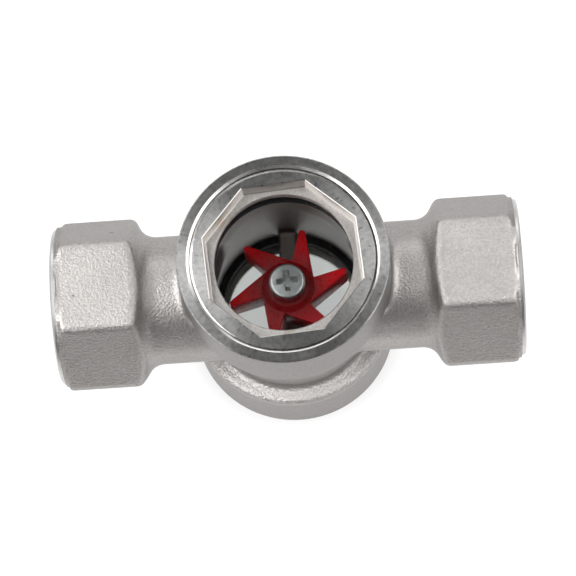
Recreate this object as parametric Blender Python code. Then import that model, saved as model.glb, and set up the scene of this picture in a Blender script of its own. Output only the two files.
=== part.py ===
"""Flow sight glass: a cast body with hexagon ends, a screwed window on each side, and an impeller.

The pipe axis is X. The window axis and the impeller's axis are both Z. The origin is where they cross.
All sizes below are in millimetres, and scaled() turns them into Blender's metres.
"""

import math

import bmesh
import bpy
from mathutils import Matrix, Vector

MM = 0.001
GAP = 0.3                       # clearance kept between pieces that touch

# Body casting
HALF_LENGTH = 51.1              # centre to each pipe end face
HALF_HEIGHT = 29.0              # centre to each window rim
RIM_RADIUS = 22.75              # outside of the two window bosses
RIM_CHAMFER = 0.5
BORE_CHAMFER = 0.6
BOSS_BASE = 12.0                # height where each boss steps in to the waist
BOSS_ROUNDING = 0.7
WAIST_RADIUS = 18.8
WAIST_FILLET = 1.0
CHAMBER_RADIUS = 17.0
SEAT_HEIGHT = 15.4              # flat seat under each window's lower gasket
GLASS_BORE_RADIUS = 19.2        # minor diameter of the M40 x 1.5 thread
RING_BORE_RADIUS = 20.0         # major diameter of the M40 x 1.5 thread
RING_BORE_BASE = 22.6
THREAD_DEPTH = 0.8              # step between the two bores
PIPE_RADIUS = 14.1
PORT_RADIUS = 11.0
SOCKET_RADIUS = 12.1            # minor diameter of the G 3/4 female thread
SOCKET_DEPTH = 16.5
SOCKET_MOUTH_RADIUS = 13.4
SOCKET_MOUTH_DEPTH = 1.3
END_FACE_RADIUS = 17.2          # round collar on each pipe end
COLLAR_START = 49.8
HEX_HALF_FLATS = 16.85
HEX_CORNER_FILLET = 2.6
HEX_TURN_RADIUS = 19.2          # the cones at both ends of a hexagon start at this radius
HEX_INNER_START = 33.4
HEX_OUTER_END = 48.9
PIPE_END = 29.9                 # where the pipe's fillet into the inner cone starts
PIPE_FILLET = 2.0
CUT_MARGIN = 1.0                # how far a cutter reaches past what it cuts
BRIDGE_WIDTH = 4.2              # bar across the chamber that carries the impeller
BRIDGE_TOP = -12.2
BRIDGE_BASE = -15.3

# Windows
RING_RADIUS = RING_BORE_RADIUS - GAP
RING_CHAMFER = 0.6
RING_BASE_CHAMFER = 0.5
RING_FLANGE_BASE = 24.1
RING_FLOOR = 25.6               # floor of the eight-sided key recess
RING_KEY_RADIUS = 18.05         # centre to a corner of the recess, at its mouth
RING_KEY_FLOOR_RADIUS = 17.1    # and at its floor: the walls have draft
SIGHT_RADIUS = 14.85
WINDOW_PART_RADIUS = GLASS_BORE_RADIUS - GAP
SEAT_GASKET_INNER_RADIUS = 15.5
CUSHION_INNER_RADIUS = 16.4
CUSHION_GASKET = (22.6, 23.8)
GLASS = (17.5, 22.3)
GLASS_CHAMFER = 0.4
SEAT_GASKET = (15.7, 17.2)
UPPER_KEY_TURN = 26.5           # degrees from +X to a corner of the upper recess
LOWER_KEY_TURN = 11.0

# Impeller and its pivot
BLADE_COUNT = 6
BLADE_BASE = -5.0
BLADE_TOP = 3.0
BLADE_TIP_RADIUS = 13.3
BLADE_TIP_ROUNDING = 0.3
BLADE_TIP_HALF_ANGLE = 2.6      # degrees
BLADE_ROOT_RADIUS = 6.0
BLADE_ROOT_TURN = 5.0           # degrees from a blade's tip to the root on its steep side
BLADE_TURN = 13.5               # degrees from +X to the first blade's tip
HUB_RADIUS = 5.2
HUB_TOP = 4.2
HUB_BORE_RADIUS = 3.3
SLEEVE_RADIUS = HUB_BORE_RADIUS - GAP
SLEEVE_BORE_RADIUS = 2.3
SLEEVE_COLLAR_RADIUS = 4.5
SLEEVE_COLLAR_TOP = -6.1
SLEEVE_TOP = 4.5
LOWER_WASHER = (-5.8, -5.3)
LOWER_WASHER_RADIUS = 5.0
UPPER_WASHER = (4.8, 5.3)
UPPER_WASHER_RADIUS = 3.8
SCREW_HEAD_RADIUS = 3.97
SCREW_HEAD = (5.6, 8.6)
SCREW_HEAD_ROUNDING = 0.5
SCREW_RADIUS = 2.0
SCREW_TIP_CHAMFER = 0.4
SCREW_TIP = -14.4
RECESS_SPAN = 4.8
RECESS_WIDTH = 1.3
RECESS_DEPTH = 1.9
RECESS_TURN = 4.0               # degrees

BODY_SEGMENTS = 48
SMALL_SEGMENTS = 24


def scaled(points):
    """Turn millimetre coordinates into metres."""
    return [tuple(value * MM for value in point) for point in points]


def material(name, colour, roughness, metallic, alpha=1.0):
    made = bpy.data.materials.new(name)
    made.use_nodes = True
    shader = made.node_tree.nodes["Principled BSDF"]
    shader.inputs["Base Color"].default_value = (*colour, 1.0)
    shader.inputs["Roughness"].default_value = roughness
    shader.inputs["Metallic"].default_value = metallic
    shader.inputs["Alpha"].default_value = alpha
    return made


def add_object(name, shape, look=None):
    """Put a bmesh in the scene as an object whose faces point out."""
    bmesh.ops.recalc_face_normals(shape, faces=shape.faces)
    mesh = bpy.data.meshes.new(name)
    shape.to_mesh(mesh)
    shape.free()
    made = bpy.data.objects.new(name, mesh)
    bpy.context.scene.collection.objects.link(made)
    if look is not None:
        mesh.materials.append(look)
        mesh.shade_smooth()
        mesh.set_sharp_from_angle(angle=math.radians(35))
    return made


def turned(profile, segments, along_x=False):
    """Revolve (radius, height) points, which close on themselves, about Z or about X."""
    shape = bmesh.new()
    rings = []
    for radius, height in scaled(profile):
        if radius < 1e-9:
            rings.append([shape.verts.new((0.0, 0.0, height))] * segments)
            continue
        ring = []
        for step in range(segments):
            turn = 2 * math.pi * step / segments
            ring.append(shape.verts.new((radius * math.cos(turn), radius * math.sin(turn), height)))
        rings.append(ring)
    for ring, after in zip(rings, rings[1:] + rings[:1]):
        for step in range(segments):
            further = (step + 1) % segments
            corners = [ring[step], ring[further], after[further], after[step]]
            corners = list(dict.fromkeys(corners))
            if len(corners) > 2:
                shape.faces.new(corners)
    if along_x:
        bmesh.ops.rotate(shape, verts=shape.verts, matrix=Matrix.Rotation(math.pi / 2, 3, "Y"))
    return shape


def prism(outline, low, high, upper=None):
    """Extrude (x, y) points from one height to another, or blend them into an upper outline."""
    shape = bmesh.new()
    base = [shape.verts.new((x, y, low * MM)) for x, y in scaled(outline)]
    top = [shape.verts.new((x, y, high * MM)) for x, y in scaled(upper or outline)]
    shape.faces.new(base)
    shape.faces.new(top)
    for step in range(len(outline)):
        further = (step + 1) % len(outline)
        shape.faces.new([base[step], base[further], top[further], top[step]])
    return shape


def arc(centre, radius, start, end, steps):
    """Points along an arc, with its angles in degrees."""
    angles = [math.radians(start + (end - start) * step / steps) for step in range(steps + 1)]
    return [(centre[0] + radius * math.cos(a), centre[1] + radius * math.sin(a)) for a in angles]


def polar(radius, degrees):
    return (radius * math.cos(math.radians(degrees)), radius * math.sin(math.radians(degrees)))


def as_cutter(made):
    made.hide_render = True
    made.display_type = "WIRE"
    return made


def combine(target, other, operation):
    """Add a live Boolean that joins, cuts or trims the target with another object."""
    step = target.modifiers.new(operation.title() + " " + other.name, "BOOLEAN")
    step.object = as_cutter(other)
    step.operation = operation
    step.solver = "EXACT"


def hexagon_outline():
    """Hexagon with filleted corners: two corners point along Y, and two flats face along X.

    hexagon_end() tips it over, so that those flats face along Z.
    """
    corner_radius = HEX_HALF_FLATS / math.cos(math.pi / 6)
    inset = corner_radius - HEX_CORNER_FILLET / math.cos(math.pi / 6)
    outline = []
    for corner in range(6):
        middle = 90 + 60 * corner
        outline += arc(polar(inset, middle), HEX_CORNER_FILLET, middle - 30, middle + 30, 4)
    return outline


def hexagon_end(name):
    """A pipe stub with a hexagon, turned to a cone at both ends of the hexagon. It points along +X."""
    stub_start = 10.0
    profile = [(0.0, stub_start), (PIPE_RADIUS, stub_start)]
    profile += arc((PIPE_RADIUS + PIPE_FILLET, PIPE_END), PIPE_FILLET, 180, 115, 4)
    profile += [(HEX_TURN_RADIUS, HEX_INNER_START), (HEX_TURN_RADIUS, HEX_OUTER_END)]
    profile += [(END_FACE_RADIUS - 0.2, COLLAR_START), (0.0, COLLAR_START)]
    end = add_object(name, turned(profile, BODY_SEGMENTS, along_x=True))
    bar = prism(hexagon_outline(), stub_start - CUT_MARGIN, HALF_LENGTH + CUT_MARGIN)
    bmesh.ops.rotate(bar, verts=bar.verts, matrix=Matrix.Rotation(math.pi / 2, 3, "Y"))
    combine(end, add_object(name + "_hexagon", bar), "INTERSECT")
    collar = [(0.0, HEX_OUTER_END - 1.0), (END_FACE_RADIUS - 1.2, HEX_OUTER_END - 1.0),
              (END_FACE_RADIUS, COLLAR_START), (END_FACE_RADIUS, HALF_LENGTH), (0.0, HALF_LENGTH)]
    combine(end, add_object(name + "_collar", turned(collar, BODY_SEGMENTS, along_x=True)), "UNION")
    return as_cutter(end)


def drum_profile():
    upper = [
        (WAIST_RADIUS, BOSS_BASE - WAIST_FILLET),
        (WAIST_RADIUS + WAIST_FILLET, BOSS_BASE),
        (RIM_RADIUS - BOSS_ROUNDING, BOSS_BASE),
        (RIM_RADIUS, BOSS_BASE + BOSS_ROUNDING),
        (RIM_RADIUS, HALF_HEIGHT - RIM_CHAMFER),
        (RIM_RADIUS - RIM_CHAMFER, HALF_HEIGHT),
        (0.0, HALF_HEIGHT),
    ]
    lower = [(radius, -height) for radius, height in reversed(upper)]
    return lower + upper


def chamber_profile():
    upper = [
        (CHAMBER_RADIUS, SEAT_HEIGHT),
        (GLASS_BORE_RADIUS, SEAT_HEIGHT),
        (GLASS_BORE_RADIUS, RING_BORE_BASE),
        (RING_BORE_RADIUS, RING_BORE_BASE + THREAD_DEPTH),
        (RING_BORE_RADIUS, HALF_HEIGHT - BORE_CHAMFER),
        (RING_BORE_RADIUS + BORE_CHAMFER + CUT_MARGIN, HALF_HEIGHT + CUT_MARGIN),
        (0.0, HALF_HEIGHT + CUT_MARGIN),
    ]
    lower = [(radius, -height) for radius, height in reversed(upper)]
    return lower + upper


def bore_profile():
    """Both sockets and the ports between them and the chamber, along the pipe's axis."""
    socket_floor = HALF_LENGTH - SOCKET_DEPTH
    right = [
        (PORT_RADIUS, socket_floor - (SOCKET_RADIUS - PORT_RADIUS)),
        (SOCKET_RADIUS, socket_floor),
        (SOCKET_RADIUS, HALF_LENGTH - SOCKET_MOUTH_DEPTH),
        (SOCKET_MOUTH_RADIUS + CUT_MARGIN, HALF_LENGTH + CUT_MARGIN),
        (0.0, HALF_LENGTH + CUT_MARGIN),
    ]
    left = [(radius, -along) for radius, along in reversed(right)]
    return left + right


def box(low, high):
    shape = bmesh.new()
    size = [(b - a) * MM for a, b in zip(low, high)]
    middle = [(a + b) / 2 * MM for a, b in zip(low, high)]
    place = Matrix.Translation(middle) @ Matrix.Diagonal((*size, 1.0))
    bmesh.ops.create_cube(shape, size=1.0, matrix=place)
    return shape


def make_body(look):
    body = add_object("body_casting", turned(drum_profile(), BODY_SEGMENTS), look)
    right = hexagon_end("right_end_form")
    left = hexagon_end("left_end_form")
    for half_turned in ("left_end_form", "left_end_form_hexagon", "left_end_form_collar"):
        bpy.data.objects[half_turned].rotation_euler = (0.0, 0.0, math.pi)
    combine(body, right, "UNION")
    combine(body, left, "UNION")
    chamber = add_object("chamber_form", turned(chamber_profile(), BODY_SEGMENTS))
    combine(body, chamber, "DIFFERENCE")
    bore = add_object("bore_form", turned(bore_profile(), BODY_SEGMENTS, along_x=True))
    combine(body, bore, "DIFFERENCE")
    reach = (CHAMBER_RADIUS + WAIST_RADIUS) / 2
    half_width = BRIDGE_WIDTH / 2
    bridge = box((-half_width, -reach, BRIDGE_BASE), (half_width, reach, BRIDGE_TOP))
    combine(body, add_object("bridge_form", bridge), "UNION")
    low, high = BRIDGE_BASE - CUT_MARGIN, BRIDGE_TOP + CUT_MARGIN
    hole = [(0.0, low), (SLEEVE_BORE_RADIUS, low), (SLEEVE_BORE_RADIUS, high), (0.0, high)]
    combine(body, add_object("screw_hole_form", turned(hole, SMALL_SEGMENTS)), "DIFFERENCE")


def make_retaining_ring(name, side, key_turn, look):
    """A turned ring with an eight-sided key recess. Side is 1 above the pipe and -1 below it."""
    profile = [
        (SIGHT_RADIUS, RING_FLANGE_BASE),
        (RING_RADIUS - RING_BASE_CHAMFER, RING_FLANGE_BASE),
        (RING_RADIUS, RING_FLANGE_BASE + RING_BASE_CHAMFER),
        (RING_RADIUS, HALF_HEIGHT - RING_CHAMFER),
        (RING_RADIUS - RING_CHAMFER, HALF_HEIGHT),
        (SIGHT_RADIUS, HALF_HEIGHT),
    ]
    ring = add_object(name, turned([(r, side * z) for r, z in profile], BODY_SEGMENTS), look)
    draft = (RING_KEY_RADIUS - RING_KEY_FLOOR_RADIUS) / (HALF_HEIGHT - RING_FLOOR)
    mouth_radius = RING_KEY_RADIUS + draft * CUT_MARGIN
    floor = [polar(RING_KEY_FLOOR_RADIUS, key_turn + 45 * step) for step in range(8)]
    mouth = [polar(mouth_radius, key_turn + 45 * step) for step in range(8)]
    recess = prism(floor, side * RING_FLOOR, side * (HALF_HEIGHT + CUT_MARGIN), mouth)
    combine(ring, add_object(name + "_key_form", recess), "DIFFERENCE")


def make_gasket(name, side, inner, span, look):
    profile = [(inner, span[0]), (WINDOW_PART_RADIUS, span[0]),
               (WINDOW_PART_RADIUS, span[1]), (inner, span[1])]
    add_object(name, turned([(r, side * z) for r, z in profile], BODY_SEGMENTS), look)


def make_glass(name, side, look):
    low, high = GLASS
    profile = [
        (0.0, low),
        (WINDOW_PART_RADIUS - GLASS_CHAMFER, low),
        (WINDOW_PART_RADIUS, low + GLASS_CHAMFER),
        (WINDOW_PART_RADIUS, high - GLASS_CHAMFER),
        (WINDOW_PART_RADIUS - GLASS_CHAMFER, high),
        (0.0, high),
    ]
    add_object(name, turned([(r, side * z) for r, z in profile], BODY_SEGMENTS), look)


def make_impeller(look):
    """Six saw-tooth blades round a hub. Each blade has a steep side and a long slanting side."""
    pitch = 360 / BLADE_COUNT
    outline = []
    for blade in range(BLADE_COUNT):
        tip = BLADE_TURN + pitch * blade
        shoulder = BLADE_TIP_RADIUS - BLADE_TIP_ROUNDING
        outline.append(polar(shoulder, tip - BLADE_TIP_HALF_ANGLE))
        outline.append(polar(BLADE_TIP_RADIUS, tip - BLADE_TIP_HALF_ANGLE / 2))
        outline.append(polar(BLADE_TIP_RADIUS, tip + BLADE_TIP_HALF_ANGLE / 2))
        outline.append(polar(shoulder, tip + BLADE_TIP_HALF_ANGLE))
        outline.append(polar(BLADE_ROOT_RADIUS, tip + BLADE_ROOT_TURN))
    impeller = add_object("impeller", prism(outline, BLADE_BASE, BLADE_TOP), look)
    inside = (BLADE_BASE + BLADE_TOP) / 2
    hub = [(0.0, inside), (HUB_RADIUS, inside), (HUB_RADIUS, HUB_TOP), (0.0, HUB_TOP)]
    combine(impeller, add_object("hub_form", turned(hub, SMALL_SEGMENTS)), "UNION")
    low, high = BLADE_BASE - CUT_MARGIN, HUB_TOP + CUT_MARGIN
    bore = [(0.0, low), (HUB_BORE_RADIUS, low), (HUB_BORE_RADIUS, high), (0.0, high)]
    combine(impeller, add_object("hub_bore_form", turned(bore, SMALL_SEGMENTS)), "DIFFERENCE")


def make_sleeve(look):
    base = BRIDGE_TOP + GAP
    profile = [
        (SLEEVE_BORE_RADIUS, base),
        (SLEEVE_COLLAR_RADIUS, base),
        (SLEEVE_COLLAR_RADIUS, SLEEVE_COLLAR_TOP),
        (SLEEVE_RADIUS, SLEEVE_COLLAR_TOP),
        (SLEEVE_RADIUS, SLEEVE_TOP),
        (SLEEVE_BORE_RADIUS, SLEEVE_TOP),
    ]
    add_object("pivot_sleeve", turned(profile, SMALL_SEGMENTS), look)


def make_washer(name, inner, outer, span, look):
    profile = [(inner, span[0]), (outer, span[0]), (outer, span[1]), (inner, span[1])]
    add_object(name, turned(profile, SMALL_SEGMENTS), look)


def make_screw(look):
    """Pan head screw with a cross recess, standing in the bridge."""
    low, high = SCREW_HEAD
    rounding_centre = (SCREW_HEAD_RADIUS - SCREW_HEAD_ROUNDING, high - SCREW_HEAD_ROUNDING)
    profile = [
        (0.0, SCREW_TIP),
        (SCREW_RADIUS - SCREW_TIP_CHAMFER, SCREW_TIP),
        (SCREW_RADIUS, SCREW_TIP + SCREW_TIP_CHAMFER),
        (SCREW_RADIUS, low),
        (SCREW_HEAD_RADIUS, low),
    ]
    profile += arc(rounding_centre, SCREW_HEAD_ROUNDING, 0, 90, 3)
    profile.append((0.0, high))
    screw = add_object("pivot_screw", turned(profile, SMALL_SEGMENTS), look)
    arm = RECESS_SPAN / 2
    half = RECESS_WIDTH / 2
    cross = []
    for quarter in range(4):
        spin = Matrix.Rotation(math.radians(90 * quarter), 2)
        cross += [tuple(spin @ Vector(corner)) for corner in ((arm, -half), (arm, half), (half, half))]
    recess = add_object("recess_form", prism(cross, high - RECESS_DEPTH, high + CUT_MARGIN))
    recess.rotation_euler = (0.0, 0.0, math.radians(RECESS_TURN))
    combine(screw, recess, "DIFFERENCE")


def clear_scene():
    for old in list(bpy.data.objects):
        bpy.data.objects.remove(old, do_unlink=True)


def main():
    clear_scene()
    cast_steel = material("cast_stainless_steel", (0.60, 0.58, 0.55), 0.45, 1.0)
    turned_steel = material("turned_stainless_steel", (0.66, 0.65, 0.63), 0.25, 1.0)
    zinc_steel = material("zinc_plated_steel", (0.62, 0.64, 0.66), 0.35, 1.0)
    bearing_steel = material("bearing_steel", (0.55, 0.55, 0.56), 0.3, 1.0)
    rubber = material("black_rubber", (0.015, 0.015, 0.016), 0.6, 0.0)
    clear_glass = material("clear_glass", (0.92, 0.95, 0.94), 0.02, 0.0, alpha=0.3)
    red_plastic = material("red_plastic", (0.55, 0.01, 0.01), 0.3, 0.0)

    make_body(cast_steel)
    for prefix, side, key_turn in (("upper", 1, UPPER_KEY_TURN), ("lower", -1, LOWER_KEY_TURN)):
        make_retaining_ring(prefix + "_retaining_ring", side, key_turn, turned_steel)
        make_gasket(prefix + "_cushion_gasket", side, CUSHION_INNER_RADIUS, CUSHION_GASKET, rubber)
        make_glass(prefix + "_glass", side, clear_glass)
        make_gasket(prefix + "_seat_gasket", side, SEAT_GASKET_INNER_RADIUS, SEAT_GASKET, rubber)
    make_impeller(red_plastic)
    make_sleeve(bearing_steel)
    make_washer("lower_thrust_washer", HUB_BORE_RADIUS, LOWER_WASHER_RADIUS, LOWER_WASHER,
                bearing_steel)
    make_washer("upper_thrust_washer", SLEEVE_BORE_RADIUS, UPPER_WASHER_RADIUS, UPPER_WASHER,
                bearing_steel)
    make_screw(zinc_steel)


main()
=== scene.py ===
"""Flow sight glass: the visual model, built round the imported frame.

The pipe axis is X, and the window axis and the impeller's axis are both Z. Shapes are worked out in
millimetres, and mesh_object() turns them into metres. The cast skin comes from one distance field. What is
turned, threaded or cut on the real part is cut into that skin afterwards.
"""

import math

import bmesh
import bpy
import numpy as np
from mathutils import Matrix, Vector


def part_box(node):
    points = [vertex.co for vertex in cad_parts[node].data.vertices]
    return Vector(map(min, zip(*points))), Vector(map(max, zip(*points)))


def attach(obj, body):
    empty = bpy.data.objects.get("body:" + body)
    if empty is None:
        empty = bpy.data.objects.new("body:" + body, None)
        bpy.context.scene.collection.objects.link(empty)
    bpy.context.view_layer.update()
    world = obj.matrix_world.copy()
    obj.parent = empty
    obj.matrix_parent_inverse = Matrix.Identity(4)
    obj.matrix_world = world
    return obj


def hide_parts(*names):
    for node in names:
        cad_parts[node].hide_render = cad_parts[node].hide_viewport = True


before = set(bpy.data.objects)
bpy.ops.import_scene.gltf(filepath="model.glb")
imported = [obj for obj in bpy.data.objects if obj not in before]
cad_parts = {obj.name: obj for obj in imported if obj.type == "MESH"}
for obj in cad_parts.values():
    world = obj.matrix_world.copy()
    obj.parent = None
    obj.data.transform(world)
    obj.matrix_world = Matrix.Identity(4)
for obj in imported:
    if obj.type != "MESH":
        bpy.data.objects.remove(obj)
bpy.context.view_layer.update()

MM = 0.001


# ---------------------------------------------------------------- sizes in millimetres, from the frame


def node_mm(node):
    """Lowest and highest corner of a CAD node."""
    low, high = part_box(node)
    return np.array(low) / MM, np.array(high) / MM


BODY_HIGH = node_mm("body_casting")[1]
HALF_LENGTH, RIM_RADIUS, HALF_HEIGHT = BODY_HIGH
RING_BASE = node_mm("upper_retaining_ring")[0][2]
GLASS_LOW, GLASS_HIGH = node_mm("upper_glass")
SEAT_GASKET_LOW, SEAT_GASKET_HIGH = node_mm("upper_seat_gasket")
CUSHION_LOW, CUSHION_HIGH = node_mm("upper_cushion_gasket")
WINDOW_RADIUS = GLASS_HIGH[0]
IMPELLER_LOW, IMPELLER_HIGH = node_mm("impeller")
SCREW_LOW, SCREW_HIGH = node_mm("pivot_screw")
SLEEVE_LOW, SLEEVE_HIGH = node_mm("pivot_sleeve")
LOWER_WASHER_LOW, LOWER_WASHER_HIGH = node_mm("lower_thrust_washer")
UPPER_WASHER_LOW, UPPER_WASHER_HIGH = node_mm("upper_thrust_washer")

# Cast body
STOCK = 1.0                     # metal left on the faces for machining
BOSS_BASE = 12.0
BOSS_ROUNDING = 1.5
WAIST_RADIUS = 18.8
WAIST_FILLET = 1.7
WAIST_REACH = 20.0              # far enough into both bosses
CHAMBER_RADIUS = 17.0
CHAMBER_REACH = 16.6            # past both glass seats
PIPE_RADIUS = 14.1
PIPE_REACH = 40.0               # far enough into the hexagon
PIPE_TO_DRUM_FILLET = 2.2
PIPE_TO_HEX_FILLET = 2.6
PORT_RADIUS = 11.0
PORT_START = -1.0               # just past the middle
PORT_REACH = 37.2               # past the inner end of the socket thread
PORT_TO_CHAMBER_FILLET = 0.6
INSIDE_EDGE_FILLET = 0.4
HEX_HALF_FLATS = 16.85
HEX_CORNER_FILLET = 2.6
HEX_TURN_RADIUS = 19.05         # the corners are turned off to this radius
HEX_INNER_CONE = ((HEX_HALF_FLATS, 32.35), (HEX_TURN_RADIUS, 33.3))
HEX_INNER_FILLET = 1.3
HEX_OUTER_CONE = ((HEX_TURN_RADIUS, 49.1), (HEX_HALF_FLATS, 50.1))
HEX_OUTER_FILLET = 0.5
HEX_END = 50.5
COLLAR_START = 49.8
COLLAR_FILLET = 0.5
COLLAR_STOCK = 0.5
END_STOCK = 0.9
END_ROUNDING = 0.3
BRIDGE_HALF = (2.1, 18.2, 1.55)
BRIDGE_MIDDLE = -13.75
BRIDGE_ROUNDING = 0.5
BRIDGE_FILLET = 1.3
SKIN_STEP = 0.62                # grid of the distance field
GRID_MARGIN = (2.5, 2.0, 2.5)   # how far that grid goes past the body

# Threads
THREAD_FLANK = 3.2              # slope of a flank, in thread depths for each pitch
THREAD_ROOT = 0.3               # how far the root's flat is sunk below that slope
THREAD_STEPS = 12               # rows of points in one pitch

# Machining
TOOL_MARGIN = 3.0               # how far a cutter stands clear of the metal
SEAT_HEIGHT = 15.4
GLASS_BORE_RADIUS = 19.2
RING_BORE_RADIUS = 20.0
RING_BORE_BASE = 22.6
BORE_CHAMFER = (0.6, 0.36)      # width and depth
RIM_CHAMFER = 0.3
SOCKET_RADIUS = 12.1
SOCKET_THREAD_RADIUS = 13.2
SOCKET_DEPTH = 16.5
SOCKET_LEAD = (2.0, 0.5)        # length and slope of the thread's run-out
SOCKET_MOUTH = (11.9, 13.5, 1.6)  # inner radius, outer radius and depth of the countersink
PIPE_PITCH = 1.814
END_FACE_RADIUS = 17.2
END_FACE_CHAMFER = 0.35
END_COLLAR_DEPTH = 0.9
END_COLLAR_FOOT = (0.15, 0.05)  # width and depth of the small cone at the collar's foot

# Windows
RING_THREAD_RADIUS = 19.85
RING_THREAD_DEPTH = 0.75
RING_PITCH = 1.5
RING_TOP_CHAMFER = 0.15
RING_BASE_CHAMFER = 0.7
RING_FLOOR = 25.6
KEY_RADIUS = 17.75              # centre to a corner of the key recess, at its mouth
KEY_FLOOR_RADIUS = 17.3
KEY_EDGE_DEPTH = 0.12           # bright chamfer round the mouth
KEY_FOOT_FILLET = (0.10, 0.07)  # width and height of the fillet at the foot of the walls
KEY_TURN = {1: 26.5, -1: 11.0}
KEY_CORNER_ROUNDING = 0.35
KEY_SIDES = 8
KEY_TOOL_TOP = (1.0, 0.5)       # how much wider than the mouth, and how far above it, the cutter ends
SIGHT_RADIUS = 14.85
SIGHT_CHAMFER = 0.2
GLASS_CHAMFER = 0.45
GASKET_ROUNDING = 0.35
SEAT_GASKET_INNER_RADIUS = 15.5
CUSHION_INNER_RADIUS = 16.4

# Impeller, and the screw, sleeve and washers it turns on
BLADE_COUNT = 6
BLADE_TOP = 3.0
BLADE_TIP_RADIUS = 13.3
BLADE_TIP_HALF_ANGLE = 2.6
BLADE_TIP_ROUNDING = 0.55
BLADE_ROOT_RADIUS = 6.0
BLADE_ROOT_TURN = 5.0
BLADE_ROOT_FILLET = 0.3
BLADE_TURN = 13.5
BLADE_EDGE = 0.22
HUB_RADIUS = 5.2
HUB_FOOT_RADIUS = 5.9
HUB_FOOT_FILLET = 0.3
HUB_TOP_RADIUS = 4.6
HUB_TOP_ROUNDING = 0.9
HUB_BORE_RADIUS = 3.3
HUB_BORE_CHAMFER = 0.2
SCREW_RADIUS = 2.0
SCREW_CORE_RADIUS = 1.62
SCREW_SHANK_RADIUS = 1.8
SCREW_TIP_CHAMFER = 0.7
SCREW_PITCH = 0.7
SCREW_THREAD_TOP = -2.0
SCREW_HEAD_BASE = 5.6
SCREW_HEAD_ROUNDING = 0.75
SCREW_HEAD_CROWN = 0.1
CROSS_TURN = 4.0
CROSS_SECTIONS = ((1.7, 0.75, -2.1), (3.2, 0.95, -1.6), (4.6, 1.2, -0.15), (5.4, 2.0, 0.25))
PIVOT_HOLE = (-17.0, -10.0)     # lowest and highest point of the cutter for the screw's hole
SLEEVE_RADIUS = 3.0
SLEEVE_BORE_RADIUS = 2.3
SLEEVE_COLLAR_TOP = -6.1
SLEEVE_ROUNDING = 0.15
COLLAR_ROUNDING = 0.2
WASHER_ROUNDING = 0.12

# Material slots of the casting and of the rings
CAST, TURNED, BORE, END_FACE, BRIGHT = range(5)
RING_TURNED, RING_RECESS, RING_BRIGHT = range(3)


# ---------------------------------------------------------------- mesh helpers


def mesh_object(name, points, faces, looks=(), face_look=0):
    """An object from points in millimetres. Every face gets the finish in slot face_look."""
    mesh = bpy.data.meshes.new(name)
    mesh.from_pydata((np.asarray(points, dtype=float) * MM).tolist(), [], faces)
    for look in looks:
        mesh.materials.append(look)
    mesh.polygons.foreach_set("material_index", [face_look] * len(mesh.polygons))
    made = bpy.data.objects.new(name, mesh)
    bpy.context.scene.collection.objects.link(made)
    return made


def smooth(made, angle):
    """Shade smooth, but keep edges sharp where faces meet at over the angle."""
    made.data.shade_smooth()
    made.data.set_sharp_from_angle(angle=math.radians(angle))
    return made


def sharpen(made, machined, angle=18):
    """Make an edge of the machined slots sharp where the finish changes, or at over the angle."""
    shape = bmesh.new()
    shape.from_mesh(made.data)
    limit = math.radians(angle)
    for edge in shape.edges:
        looks = {face.material_index for face in edge.link_faces}
        if looks & machined and (len(looks) > 1 or edge.calc_face_angle(0.0) > limit):
            edge.smooth = False
    shape.to_mesh(made.data)
    shape.free()


def apply_modifiers(made):
    """Replace the mesh by what its modifiers make of it."""
    graph = bpy.context.evaluated_depsgraph_get()
    mesh = bpy.data.meshes.new_from_object(made.evaluated_get(graph))
    made.modifiers.clear()
    old = made.data
    made.data = mesh
    bpy.data.meshes.remove(old)


def carve(target, tool, operation="DIFFERENCE"):
    """Cut, join or trim the target with a tool, and throw the tool away."""
    step = target.modifiers.new("carve", "BOOLEAN")
    step.object = tool
    step.operation = operation
    step.solver = "MANIFOLD"
    apply_modifiers(target)
    bpy.data.objects.remove(tool, do_unlink=True)
    return target


def bevelled(made, width, segments, angle):
    step = made.modifiers.new("bevel", "BEVEL")
    step.width = width * MM
    step.segments = segments
    step.limit_method = "ANGLE"
    step.angle_limit = math.radians(angle)
    apply_modifiers(made)
    return made


def rounded(profile, steps=4):
    """Replace each (x, y, fillet) corner of a closed outline with an arc of about that fillet."""
    points = []
    count = len(profile)
    for index, (x, y, fillet) in enumerate(profile):
        here = Vector((x, y))
        if fillet <= 0:
            points.append(tuple(here))
            continue
        back = Vector(profile[index - 1][:2]) - here
        on = Vector(profile[(index + 1) % count][:2]) - here
        half = back.angle(on) / 2
        reach = min(fillet / math.tan(half), back.length * 0.49, on.length * 0.49)
        first = here + back.normalized() * reach
        last = here + on.normalized() * reach
        for step in range(steps + 1):
            t = step / steps
            points.append(tuple(first * (1 - t) ** 2 + here * 2 * t * (1 - t) + last * t * t))
    return points


def turned(profile, segments):
    """Points and faces of an outline of (radius, height) pairs revolved about Z. It may end on the axis."""
    points, faces, rings = [], [], []
    for radius, height in profile:
        if radius < 1e-6:
            rings.append([len(points)] * segments)
            points.append((0.0, 0.0, height))
            continue
        rings.append(list(range(len(points), len(points) + segments)))
        for step in range(segments):
            turn = 2 * math.pi * step / segments
            points.append((radius * math.cos(turn), radius * math.sin(turn), height))
    for ring, after in zip(rings, rings[1:] + rings[:1]):
        for step in range(segments):
            on = (step + 1) % segments
            corners = list(dict.fromkeys([ring[step], ring[on], after[on], after[step]]))
            if len(corners) > 2:
                faces.append(corners)
    return points, faces


def turned_object(name, profile, segments, looks=(), face_look=0, along_x=0):
    """A turned piece. Its outline runs up the outer side. along_x is 1 or -1 to lay it along +X or -X."""
    points, faces = turned(profile, segments)
    points = np.array(points)
    if along_x:
        points = points @ np.array(Matrix.Rotation(math.radians(90) * along_x, 3, "Y").transposed())
    return mesh_object(name, points, faces, looks, face_look)


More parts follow.
